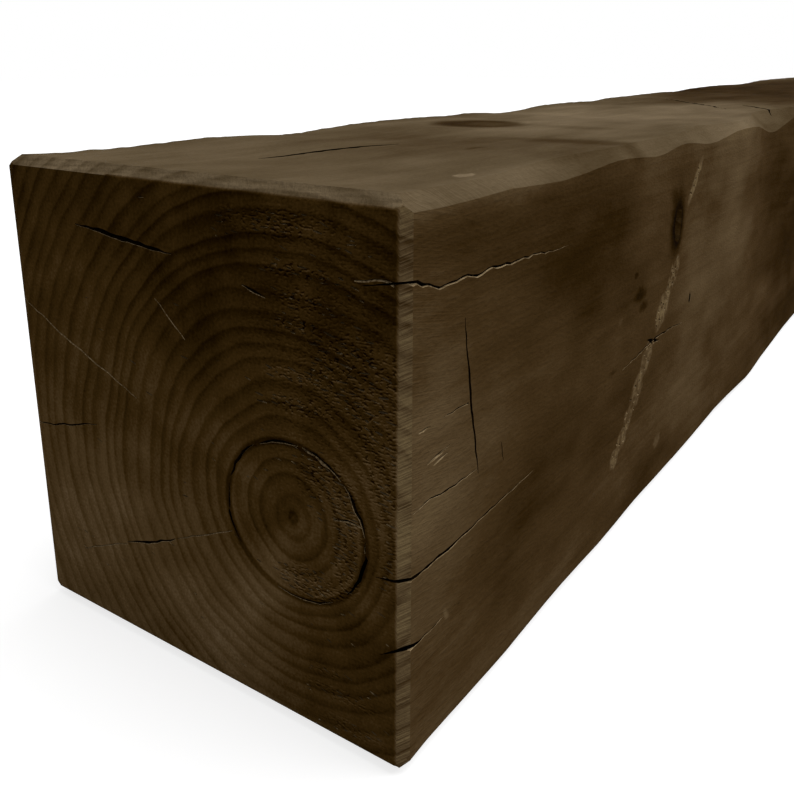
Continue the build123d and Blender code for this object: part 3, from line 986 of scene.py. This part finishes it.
@dataclass
class HewnBeam:
    """The timber: a sawn blank, drawn onto the hewn form, with its arrises sharpened and its cracks cut."""

    cad: bpy.types.Object
    low: Vector
    high: Vector
    edge_round: float = 3.0
    rim_band: float = 12.0
    rim_cuts: int = 7
    middle_cuts: int = 41
    # Where each stretch along the beam ends, and how finely it is divided there, in millimetres
    stretches: tuple = ((130.0, 1.7), (300.0, 3.4), (600.0, 6.0), (1497.0, 12.0))
    arris_reach: float = 0.9
    arris_angle: float = 18.0
    # Cracks: how long their steps are, how much of its straying one keeps from step to step, how its width
    # may vary, how narrow it gets, how much depth and lip it keeps at its ends, how far its cutter stands out
    crack_step: float = 2.6
    crack_keeps: float = 0.55
    crack_width: tuple = (0.75, 1.2)
    crack_least: float = 0.12
    crack_end_depth: float = 0.35
    crack_end_lip: float = 0.3
    crack_proud: float = 2.0
    smooth_angle: float = 40.0
    # Weathering beside the wanes: how deep, broad and fine in turn, and the nicks of the back top arris
    broad_wear: float = 0.15
    fine_wear: float = 0.06
    nick_depth: float = 0.3
    nick_reach: float = 7.0
    # The near end's sawn face inside its bevel, from the front and up, and the pits' sizes and pale shares
    end_field: tuple = ((4.0, 146.0), (4.5, 149.0))
    end_pit: PitSizes = PitSizes((0.6, 2.0), (0.16, 0.36), (0.35, 0.9), (-0.1, 0.42))
    streak_pit: PitSizes = PitSizes((0.6, 1.9), (0.35, 1.1), (0.3, 0.8), (-0.3, 0.5))
    end_pale_share: float = 0.2
    streak_pale_share: float = 0.5
    # A pit's floor: its length against the mouth's, and how high in the pit its middle and its edges lie
    pit_floor: float = 0.6
    pit_floor_rise: tuple = (0.45, 0.3)
    pit_proud: float = 0.5
    # The knot hole: how ragged its edge is, how much narrower its floor is, and how far its cutter stands out
    knot_ragged: tuple = (0.86, 1.06)
    knot_floor: float = 0.66
    knot_proud: float = 1.5
    pit_corners: int = 6
    crack_corners: int = 5
    knot_corners: int = 28
    solver: str = "MANIFOLD"
    cracks: tuple = CRACKS
    torn_bands: tuple = TORN_BANDS
    # The hole of the dropped knot: place along and up, width, height and depth, in millimetres
    knot_hole: tuple = (204.0, 117.0, 10.0, 17.0, 7.5)
    skin: StainedSoftwood = StainedSoftwood()
    # Torn wood, partly a painted highlight on the lower edges of cracks and pits
    torn: FibrousWood = TORN_WOOD_AND_HIGHLIGHT
    # The insides of cracks and pits, painted nearly black as their shade
    depth: FibrousWood = CRACK_DEPTH

    def build(self) -> bpy.types.Object:
        """Makes the whole timber.

        Returns:
            The finished piece, in its place, with its materials.
        """
        beam = self.blank()
        self.draw_onto(beam)
        self.sharpen(beam)
        self.weather(beam)
        self.dress(beam)
        rng = random.Random(SEED)
        self.tear(beam, self.end_pits(rng), self.end_pale_share, Wood.DEPTH, rng)
        self.tear(beam, self.streak_pits(rng), self.streak_pale_share, Wood.SKIN, rng)
        self.drop_knot(beam, rng)
        for number, crack in enumerate(self.cracks):
            self.cut(beam, crack, rng, number)
        pick(beam)
        bpy.ops.object.shade_smooth_by_angle(angle=math.radians(self.smooth_angle))
        return beam

    def blank(self) -> bpy.types.Object:
        """Saws the blank: a box as large as the timber, its edges eased, divided finely near the near end.

        Returns:
            The blank.
        """
        deselect()
        bpy.ops.mesh.primitive_cube_add(size=1, location=(self.low + self.high) / 2)
        beam = bpy.context.object
        beam.name = "hewn_timber"
        beam.data.name = "hewn_timber"
        beam.scale = self.high - self.low
        bpy.ops.object.transform_apply(location=True, scale=True)
        with editing():
            bpy.ops.mesh.bevel(offset=self.edge_round * MM, segments=2, affect="EDGES")
        for stop, _ in self.stretches[:-1]:
            self.part(beam, 0, self.low.x + stop * MM)
        for axis in (1, 2):
            for place in (self.low[axis] + self.rim_band * MM, self.high[axis] - self.rim_band * MM):
                self.part(beam, axis, place)
        start = 0.0
        for stop, step in self.stretches:
            cuts = round((stop - start) / step) - 1
            self.divide(beam, 0, self.low.x + start * MM, self.low.x + stop * MM, cuts)
            start = stop
        for axis in (1, 2):
            lower, upper = self.low[axis], self.high[axis]
            band = self.rim_band * MM
            self.divide(beam, axis, lower, lower + band, self.rim_cuts - 1)
            self.divide(beam, axis, upper - band, upper, self.rim_cuts - 1)
            self.divide(beam, axis, lower + band, upper - band, self.middle_cuts)
        return beam

    def part(self, beam: bpy.types.Object, axis: int, place: float) -> None:
        """Draws a line of edges round the blank.

        Args:
            beam: the blank; it is not used, as the line is drawn round the active mesh.
            axis: the axis that the line stands across.
            place: where on that axis, in metres.
        """
        point, direction = Vector(), Vector()
        point[axis] = place
        direction[axis] = 1.0
        with editing():
            bpy.ops.mesh.bisect(plane_co=point, plane_no=direction)

    def divide(self, beam: bpy.types.Object, axis: int, start: float, stop: float, cuts: int) -> None:
        """Divides the edges that run along an axis inside a stretch.

        Args:
            beam: the blank.
            axis: the axis that the edges run along.
            start: where the stretch starts, in metres.
            stop: where it stops, in metres.
            cuts: how many cuts each edge gets.
        """
        slack = 0.2 * MM
        places = self.places(beam)
        edges = np.empty(len(beam.data.edges) * 2, int)
        beam.data.edges.foreach_get("vertices", edges)
        first, second = places[edges.reshape(-1, 2).T]
        run = np.abs(second - first)
        straight = np.delete(run, axis, axis=1).max(1) < slack / 10
        inside = (np.minimum(first, second)[:, axis] > start - slack) & (
            np.maximum(first, second)[:, axis] < stop + slack
        )
        chosen = straight & inside & (run[:, axis] > 1.9 * self.edge_round * MM)
        subdivide(beam, chosen, cuts)

    def places(self, piece: bpy.types.Object) -> np.ndarray:
        """Reads a mesh's points.

        Args:
            piece: the mesh's object.

        Returns:
            One row of three coordinates for each point, in metres.
        """
        points = np.empty(len(piece.data.vertices) * 3)
        piece.data.vertices.foreach_get("co", points)
        return points.reshape(-1, 3)

    def draw_onto(self, beam: bpy.types.Object) -> None:
        """Draws the blank onto the hewn form."""
        pick(beam)
        wrap = beam.modifiers.new("onto_hewn_form", "SHRINKWRAP")
        wrap.target = self.cad
        wrap.wrap_method = "NEAREST_SURFACEPOINT"
        bpy.ops.object.modifier_apply(modifier=wrap.name)

    def arrises(self) -> tuple[np.ndarray, np.ndarray]:
        """Finds the long arrises of the hewn form.

        Returns:
            Each stretch's first and last point.
        """
        copy = self.cad.copy()
        copy.data = self.cad.data.copy()
        bpy.context.scene.collection.objects.link(copy)
        pick(copy)
        with editing():
            bpy.ops.mesh.remove_doubles(threshold=0.005 * MM)
            bpy.ops.mesh.select_all(action="DESELECT")
            bpy.ops.mesh.edges_select_sharp(sharpness=math.radians(self.arris_angle))
        points = self.places(copy)
        pairs = np.array([edge.vertices[:] for edge in copy.data.edges if edge.select])
        first, second = points[pairs.T]
        run = second - first
        reach = np.linalg.norm(run, axis=1)
        lengthwise = np.abs(run[:, 0]) > 0.9 * reach
        rim = self.rim_band * MM
        edges_y = np.minimum(first[:, 1] - self.low.y, self.high.y - first[:, 1]) < rim
        edges_z = np.minimum(first[:, 2] - self.low.z, self.high.z - first[:, 2]) < rim
        kept = lengthwise & edges_y & edges_z & (reach > 2 * MM)
        bpy.data.objects.remove(copy)
        return first[kept], second[kept]

    def sharpen(self, beam: bpy.types.Object) -> None:
        """Moves the points beside an arris onto it, so that the arris is a crisp line."""
        first, second = self.arrises()
        run = second - first
        points = self.places(beam)
        order = np.argsort(first[:, 0])
        LOG.info("sharpening along %d arris stretches", len(order))
        for start, along in zip(first, run):
            low_x, high_x = sorted((start[0], start[0] + along[0]))
            near = np.nonzero((points[:, 0] >= low_x) & (points[:, 0] <= high_x))[0]
            share = ((points[near] - start) @ along) / (along @ along)
            foot = start + np.clip(share, 0, 1)[:, None] * along
            gap = np.linalg.norm(points[near] - foot, axis=1)
            closest_first = np.argsort(gap)
            rings = np.round(points[near[closest_first], 0] / (0.05 * MM)).astype(int)
            closest = closest_first[np.unique(rings, return_index=True)[1]]
            closest = closest[gap[closest] < self.arris_reach * MM]
            points[near[closest]] = foot[closest]
        beam.data.vertices.foreach_set("co", points.ravel())
        beam.data.update()

    def on_face(self, face: Face, first: float, second: float, out: float) -> Vector:
        """Finds a place on a face of the timber's box.

        Args:
            face: the face.
            first: millimetres along, or from the front on the near end.
            second: millimetres up, or from the front on the top.
            out: millimetres out of the face.

        Returns:
            The place, in metres.
        """
        low, high = self.low, self.high
        if face is Face.FRONT:
            return Vector((low.x + first * MM, low.y - out * MM, low.z + second * MM))
        if face is Face.BACK:
            return Vector((low.x + first * MM, high.y + out * MM, low.z + second * MM))
        if face is Face.TOP:
            return Vector((low.x + first * MM, low.y + (NEAR_FRONT + second) * MM, high.z + out * MM))
        return Vector((low.x - out * MM, low.y + (NEAR_FRONT + first) * MM, low.z + second * MM))

    def sunk(self, beam: bpy.types.Object, face: Face, first: float, second: float) -> float | None:
        """Measures how far the skin lies inside the timber's box.

        Args:
            beam: the timber.
            face: the face.
            first: the place's first number on the face.
            second: its second number.

        Returns:
            The distance in millimetres, or None beside the timber.
        """
        stand_off = 20.0
        start = self.on_face(face, first, second, stand_off)
        towards = self.on_face(face, first, second, 0) - start
        hit, place, _, _ = beam.ray_cast(start, towards.normalized())
        if not hit:
            return None
        return (place - start).length / MM - stand_off

    def jagged(self, crack: Crack, rng: random.Random) -> list[tuple[float, float]]:
        """Roughens a crack's path: it follows the grain for a few millimetres, then steps across.

        Args:
            crack: the crack.
            rng: where the chance comes from.

        Returns:
            The path's points on the face.
        """
        points = []
        across = 0.0
        for (u0, v0), (u1, v1) in zip(crack.path, crack.path[1:]):
            reach = math.hypot(u1 - u0, v1 - v0)
            steps = max(2, round(reach / self.crack_step))
            for step in range(steps):
                share = step / steps
                across = self.crack_keeps * across + rng.uniform(-crack.jag, crack.jag)
                points.append(
                    (
                        u0 + (u1 - u0) * share - (v1 - v0) / reach * across,
                        v0 + (v1 - v0) * share + (u1 - u0) / reach * across,
                    )
                )
        points.append(crack.path[-1])
        return points

    def cut(self, beam: bpy.types.Object, crack: Crack, rng: random.Random, number: int) -> None:
        """Cuts one crack into the timber.

        Args:
            beam: the timber.
            crack: the crack.
            rng: where the chance comes from.
            number: the crack's number, for its name.
        """
        path = self.jagged(crack, rng)
        skin = [self.sunk(beam, crack.face, *point) for point in path]
        known = next(level for level in skin if level is not None)
        cutter = self.cutter(beam, f"crack_cutter_{number}", self.crack_corners)
        heights = self.places(cutter)[:, 2]
        ends = [edge.vertices[:] for edge in cutter.data.edges]
        upright = [abs(heights[first] - heights[second]) > 0.5 for first, second in ends]
        subdivide(cutter, upright, len(path) - 2)
        last = len(path) - 1
        runs_out = crack.path[0][0] < 0
        sections = []
        for index, (first, second) in enumerate(path):
            share = index / last
            known = skin[index] if skin[index] is not None else known
            taper = (1 - share**2.5) if runs_out else math.sin(math.pi * min(max(share, 0.02), 0.98)) ** 0.6
            width = max(crack.width * taper * rng.uniform(*self.crack_width), self.crack_least)
            depth = crack.depth * (self.crack_end_depth + (1 - self.crack_end_depth) * taper)
            before, after = path[max(index - 1, 0)], path[min(index + 1, last)]
            run = math.hypot(after[0] - before[0], after[1] - before[1])
            side = (-(after[1] - before[1]) / run, (after[0] - before[0]) / run)
            if side[1] < 0 or (side[1] == 0 and side[0] < 0):
                side = (-side[0], -side[1])
            broad = crack.lip[0] * (self.crack_end_lip + (1 - self.crack_end_lip) * taper)
            proud, deep = self.crack_proud, crack.lip[1]
            # Across the crack and in from the skin: upper mouth, lower mouth, lower lip, bottom, bottom
            profile = (
                (0.5 * width + 0.05, -proud),
                (-0.5 * width - broad * (1 + proud / deep), -proud),
                (-0.5 * width, deep),
                (-0.06 + crack.lean * depth / crack.depth, depth),
                (0.06 + crack.lean * depth / crack.depth, depth),
            )
            sections.append([])
            for across, inward in profile:
                place = first + side[0] * across, second + side[1] * across
                sections[-1].append(self.on_face(crack.face, *place, -known - inward))
        corners = {}
        for vertex in cutter.data.vertices:
            ring = round((vertex.co.z + 0.5) * last)
            corner = round(math.atan2(vertex.co.x, vertex.co.y) / math.tau * self.crack_corners)
            corners[vertex.index] = (ring, corner % self.crack_corners)
        for index, (ring, corner) in corners.items():
            cutter.data.vertices[index].co = sections[ring][corner]
        for polygon in cutter.data.polygons:
            sides = {corners[i][1] for i in polygon.vertices}
            polygon.material_index = Wood.TORN.value if sides == {1, 2} else Wood.DEPTH.value
        self.take_away(beam, cutter)

    def cutter(self, beam: bpy.types.Object, name: str, corners: int) -> bpy.types.Object:
        """Starts a cutter: a prism that has the timber's materials.

        Args:
            beam: the timber.
            name: the cutter's name.
            corners: how many corners it has.

        Returns:
            The cutter.
        """
        deselect()
        bpy.ops.mesh.primitive_cylinder_add(vertices=corners, radius=1, depth=1)
        cutter = bpy.context.object
        cutter.name = name
        for material in beam.data.materials:
            cutter.data.materials.append(material)
        return cutter

    def take_away(self, beam: bpy.types.Object, cutter: bpy.types.Object) -> None:
        """Turns a cutter's faces outwards, cuts it out of the timber and clears it away.

        Args:
            beam: the timber.
            cutter: the shape.
        """
        pick(cutter)
        with editing():
            bpy.ops.mesh.normals_make_consistent(inside=False)
        pick(beam)
        saw = beam.modifiers.new("cut", "BOOLEAN")
        saw.object = cutter
        saw.operation = "DIFFERENCE"
        saw.solver = self.solver
        bpy.ops.object.modifier_apply(modifier=saw.name)
        bpy.data.objects.remove(cutter)

    def weather(self, beam: bpy.types.Object) -> None:
        """Sinks the hewn faces a little, unevenly, as the drawknife and the years have left them.

        Args:
            beam: the timber.
        """
        points = self.places(beam)
        for index, point in enumerate(points):
            from_front = max((point[1] - self.low.y) / MM, 0.01)
            from_top = max((self.high.z - point[2]) / MM, 0.01)
            from_end = min(point[0] - self.low.x, self.high.x - point[0]) / MM
            if min(from_front, from_top) > self.rim_band or from_end < self.edge_round:
                continue
            x, y, z = point / MM
            broad = 1 + noise.noise((x / 38, y / 24, z / 24))
            fine = 1 + noise.noise((x / 11, y / 9, z / 9))
            by_back_arris = max(from_top, (self.high.y - point[1]) / MM) < self.nick_reach
            nick = 1 + noise.noise((x / 4.5, y / 6, z / 6)) if by_back_arris else 0
            wear = self.broad_wear * broad + self.fine_wear * fine + self.nick_depth * nick
            sunk = wear * min((from_end - self.edge_round) / 8, 1.0) * MM
            reach = math.hypot(from_front, from_top)
            points[index, 1] += sunk * from_top / reach
            points[index, 2] -= sunk * from_front / reach
        points = np.clip(points, self.low, self.high)
        beam.data.vertices.foreach_set("co", points.ravel())
        beam.data.update()

    def end_pits(self, rng: random.Random) -> list[Pit]:
        """Scatters the pits of the near end over its torn bands.

        Args:
            rng: where the chance comes from.

        Returns:
            The pits, none over another.
        """
        (left, right), (foot, top) = self.end_field
        pits = []
        for band in self.torn_bands:
            for _ in range(band.count):
                angle = math.radians(rng.uniform(band.start, band.stop))
                radius = band.radius + rng.uniform(-band.spread, band.spread)
                first = PITH_FROM_FRONT + radius * math.cos(angle)
                second = PITH_UP + radius * math.sin(angle)
                pit = self.end_pit.draw(Face.NEAR_END, first, second, band.coarse, rng)
                inside = left < first < right and foot < second < top
                if inside and not any(pit.meets(other) for other in pits):
                    pits.append(pit)
        return pits

    def streak_pits(self, rng: random.Random) -> list[Pit]:
        """Scatters shallow gouges over the pale streak across the front.

        Args:
            rng: where the chance comes from.

        Returns:
            The gouges, none over another.
        """
        run = math.radians(STREAK_TURN)
        pits = []
        for along, up, half_length, half_width, count in STREAK:
            for _ in range(count):
                down, across = rng.uniform(-half_length, half_length), rng.uniform(-half_width, half_width)
                first = along + down * math.cos(run) - across * math.sin(run)
                second = up + down * math.sin(run) + across * math.cos(run)
                pit = self.streak_pit.draw(Face.FRONT, first, second, 1.0, rng)
                if not any(pit.meets(other) for other in pits):
                    pits.append(pit)
        return pits

    def tear(
        self, beam: bpy.types.Object, pits: list[Pit], pale_share: float, inside: Wood, rng: random.Random
    ) -> None:
        """Tears small pits into a face, each a flat lens.

        Args:
            beam: the timber.
            pits: the pits, all on one face.
            pale_share: how many of their lower edges show torn wood, which is partly a painted highlight. The
                others show stained wood.
            inside: what shows in the rest of the pits.
            rng: where the chance comes from.
        """
        LOG.info("tearing %d pits into the %s", len(pits), pits[0].face.value)
        skin = [self.sunk(beam, pit.face, pit.first, pit.second) or 0.0 for pit in pits]
        cutter = self.cutter(beam, "torn_fibre_cutter", self.pit_corners)
        row = cutter.modifiers.new("row", "ARRAY")
        row.count = len(pits)
        row.relative_offset_displace = (2.0, 0, 0)
        bpy.ops.object.modifier_apply(modifier=row.name)
        each = len(cutter.data.vertices) // len(pits)
        centres = self.places(cutter).reshape(len(pits), each, 3).mean(1)
        levels = {}
        for vertex in cutter.data.vertices:
            pit, level = pits[vertex.index // each], skin[vertex.index // each]
            local = vertex.co - Vector(centres[vertex.index // each])
            deep = local.z < 0
            across = local.x * pit.half_length * (self.pit_floor if deep else 1.0)
            middle, edges = self.pit_floor_rise
            rise = pit.half_height * (middle + edges * local.y if deep else local.y) + across * pit.slope
            levels[vertex.index] = local.y
            out = -level + (-pit.depth if deep else self.pit_proud)
            vertex.co = self.on_face(pit.face, pit.first + across, pit.second + rise, out)
        for polygon in cutter.data.polygons:
            level = sum(levels[i] for i in polygon.vertices) / len(polygon.vertices)
            lower_edge = Wood.TORN if rng.random() < pale_share else Wood.SKIN
            polygon.material_index = (lower_edge if level < -0.3 else inside).value
        self.take_away(beam, cutter)

    def drop_knot(self, beam: bpy.types.Object, rng: random.Random) -> None:
        """Cuts the ragged hole that the dropped knot has left.

        Args:
            beam: the timber.
            rng: where the chance comes from.
        """
        along, up, width, height, depth = self.knot_hole
        skin = self.sunk(beam, Face.FRONT, along, up)
        corners = self.knot_corners
        cutter = self.cutter(beam, "knot_cutter", corners)
        ragged = [rng.uniform(*self.knot_ragged) for _ in range(corners)]
        for vertex in cutter.data.vertices:
            deep = vertex.co.z < 0
            corner = round(math.atan2(vertex.co.y, vertex.co.x) / math.tau * corners) % corners
            share = ragged[corner] * (self.knot_floor if deep else 1.0)
            first, second = along + vertex.co.x * width / 2 * share, up + vertex.co.y * height / 2 * share
            vertex.co = self.on_face(Face.FRONT, first, second, -skin + (-depth if deep else self.knot_proud))
        self.take_away(beam, cutter)

    def dress(self, beam: bpy.types.Object) -> None:
        """Gives the timber its materials, in the order of the Wood names."""
        for finish in (self.skin, self.torn, self.depth):
            beam.data.materials.append(finish.material())


@dataclass
class Studio:
    """The pale floor, the soft light and the camera."""

    place: Vector = field(default_factory=lambda: Vector((-0.90353, -0.17549, 0.18262)))
    right: Vector = field(default_factory=lambda: Vector((0.56438, -0.82552, 0.00088)))
    down: Vector = field(default_factory=lambda: Vector((-0.21787, -0.14998, -0.96438)))
    image_size: float = 794.0
    focal_pixels: float = 861.43
    centre_row: float = 296.19
    sensor: float = 36.0
    nearest: float = 0.005
    floor_span: float = 14.0
    floor_drop: float = 0.0004
    floor_grey: str = "b9b9b9"
    floor_glow: float = 0.74
    sky: float = 0.36
    sun_strength: float = 2.2
    sun_from: Vector = field(default_factory=lambda: Vector((0.28, -0.30, 0.91)))
    sun_spread: float = 50.0

    def build(self) -> None:
        """Sets up the camera, the lights and the floor."""
        self.camera()
        self.light()
        self.floor()

    def camera(self) -> None:
        """Stands the camera where the photograph was taken from."""
        data = bpy.data.cameras.new("photograph_view")
        data.sensor_width = self.sensor
        data.lens = self.sensor * self.focal_pixels / self.image_size
        data.shift_y = (self.centre_row - self.image_size / 2) / self.image_size
        data.clip_start = self.nearest
        camera = bpy.data.objects.new("photograph_view", data)
        bpy.context.scene.collection.objects.link(camera)
        right = self.right.normalized()
        up = -(self.down - self.down.dot(right) * right).normalized()
        turn = Matrix((right, up, right.cross(up))).transposed()
        camera.matrix_world = Matrix.Translation(self.place) @ turn.to_4x4()
        bpy.context.scene.camera = camera

    def light(self) -> None:
        """Hangs a wide soft light overhead in a dim even sky, which the camera sees as white."""
        data = bpy.data.lights.new("overhead_softbox", "SUN")
        data.energy = self.sun_strength
        data.angle = math.radians(self.sun_spread)
        lamp = bpy.data.objects.new("overhead_softbox", data)
        bpy.context.scene.collection.objects.link(lamp)
        lamp.rotation_euler = self.sun_from.to_track_quat("Z", "Y").to_euler()
        world = bpy.data.worlds.new("studio")
        bpy.context.scene.world = world
        world.use_nodes = True
        tree = world.node_tree
        tree.nodes.clear()
        seen = self.seen(tree)
        dim = put(tree, "Background", (1, 1, 1, 1), self.sky)
        white = put(tree, "Background", (1, 1, 1, 1), 1.0)
        put(tree, "OutputWorld", put(tree, "MixShader", seen, dim, white))

    def seen(self, tree: bpy.types.NodeTree) -> bpy.types.Node:
        """Tells the rays that show the background from those that light the timber.

        Args:
            tree: the tree that gets the nodes.

        Returns:
            A node that is one for camera, glossy and transmission rays.
        """
        rays = put(tree, "LightPath")
        pair = put(
            tree, "Math", rays.outputs["Is Camera Ray"], rays.outputs["Is Glossy Ray"], operation="MAXIMUM"
        )
        return put(tree, "Math", pair, rays.outputs["Is Transmission Ray"], operation="MAXIMUM")

    def floor(self) -> None:
        """Lays a pale floor that takes a faint shadow."""
        deselect()
        bpy.ops.mesh.primitive_plane_add(size=self.floor_span, location=(0, 0, -self.floor_drop))
        floor = bpy.context.object
        floor.name = "studio_floor"
        bpy.ops.object.transform_apply(location=True)
        material, tree = new_tree("pale_matt_floor")
        grey = put(tree, "BsdfDiffuse", linear(self.floor_grey))
        glow = put(tree, "Emission", (1, 1, 1, 1), self.floor_glow)
        shown = put(tree, "AddShader", glow, grey)
        mixed = put(tree, "MixShader", self.seen(tree), grey, shown)
        put(tree, "OutputMaterial", mixed)
        floor.data.materials.append(material)


def main() -> None:
    """Builds the studio and the timber, and reports each piece."""
    logging.basicConfig(level=logging.INFO, format="%(name)s: %(message)s")
    bpy.context.scene.view_settings.view_transform = "Standard"
    Studio().build()
    LOG.info("studio is set")
    low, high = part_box(TIMBER_NODE)
    timber = HewnBeam(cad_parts[TIMBER_NODE], low, high).build()
    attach(timber, BODY)
    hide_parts(TIMBER_NODE)
    timber.data.calc_loop_triangles()
    LOG.info("%s has %d triangles", timber.name, len(timber.data.loop_triangles))


if __name__ == "__main__":
    main()
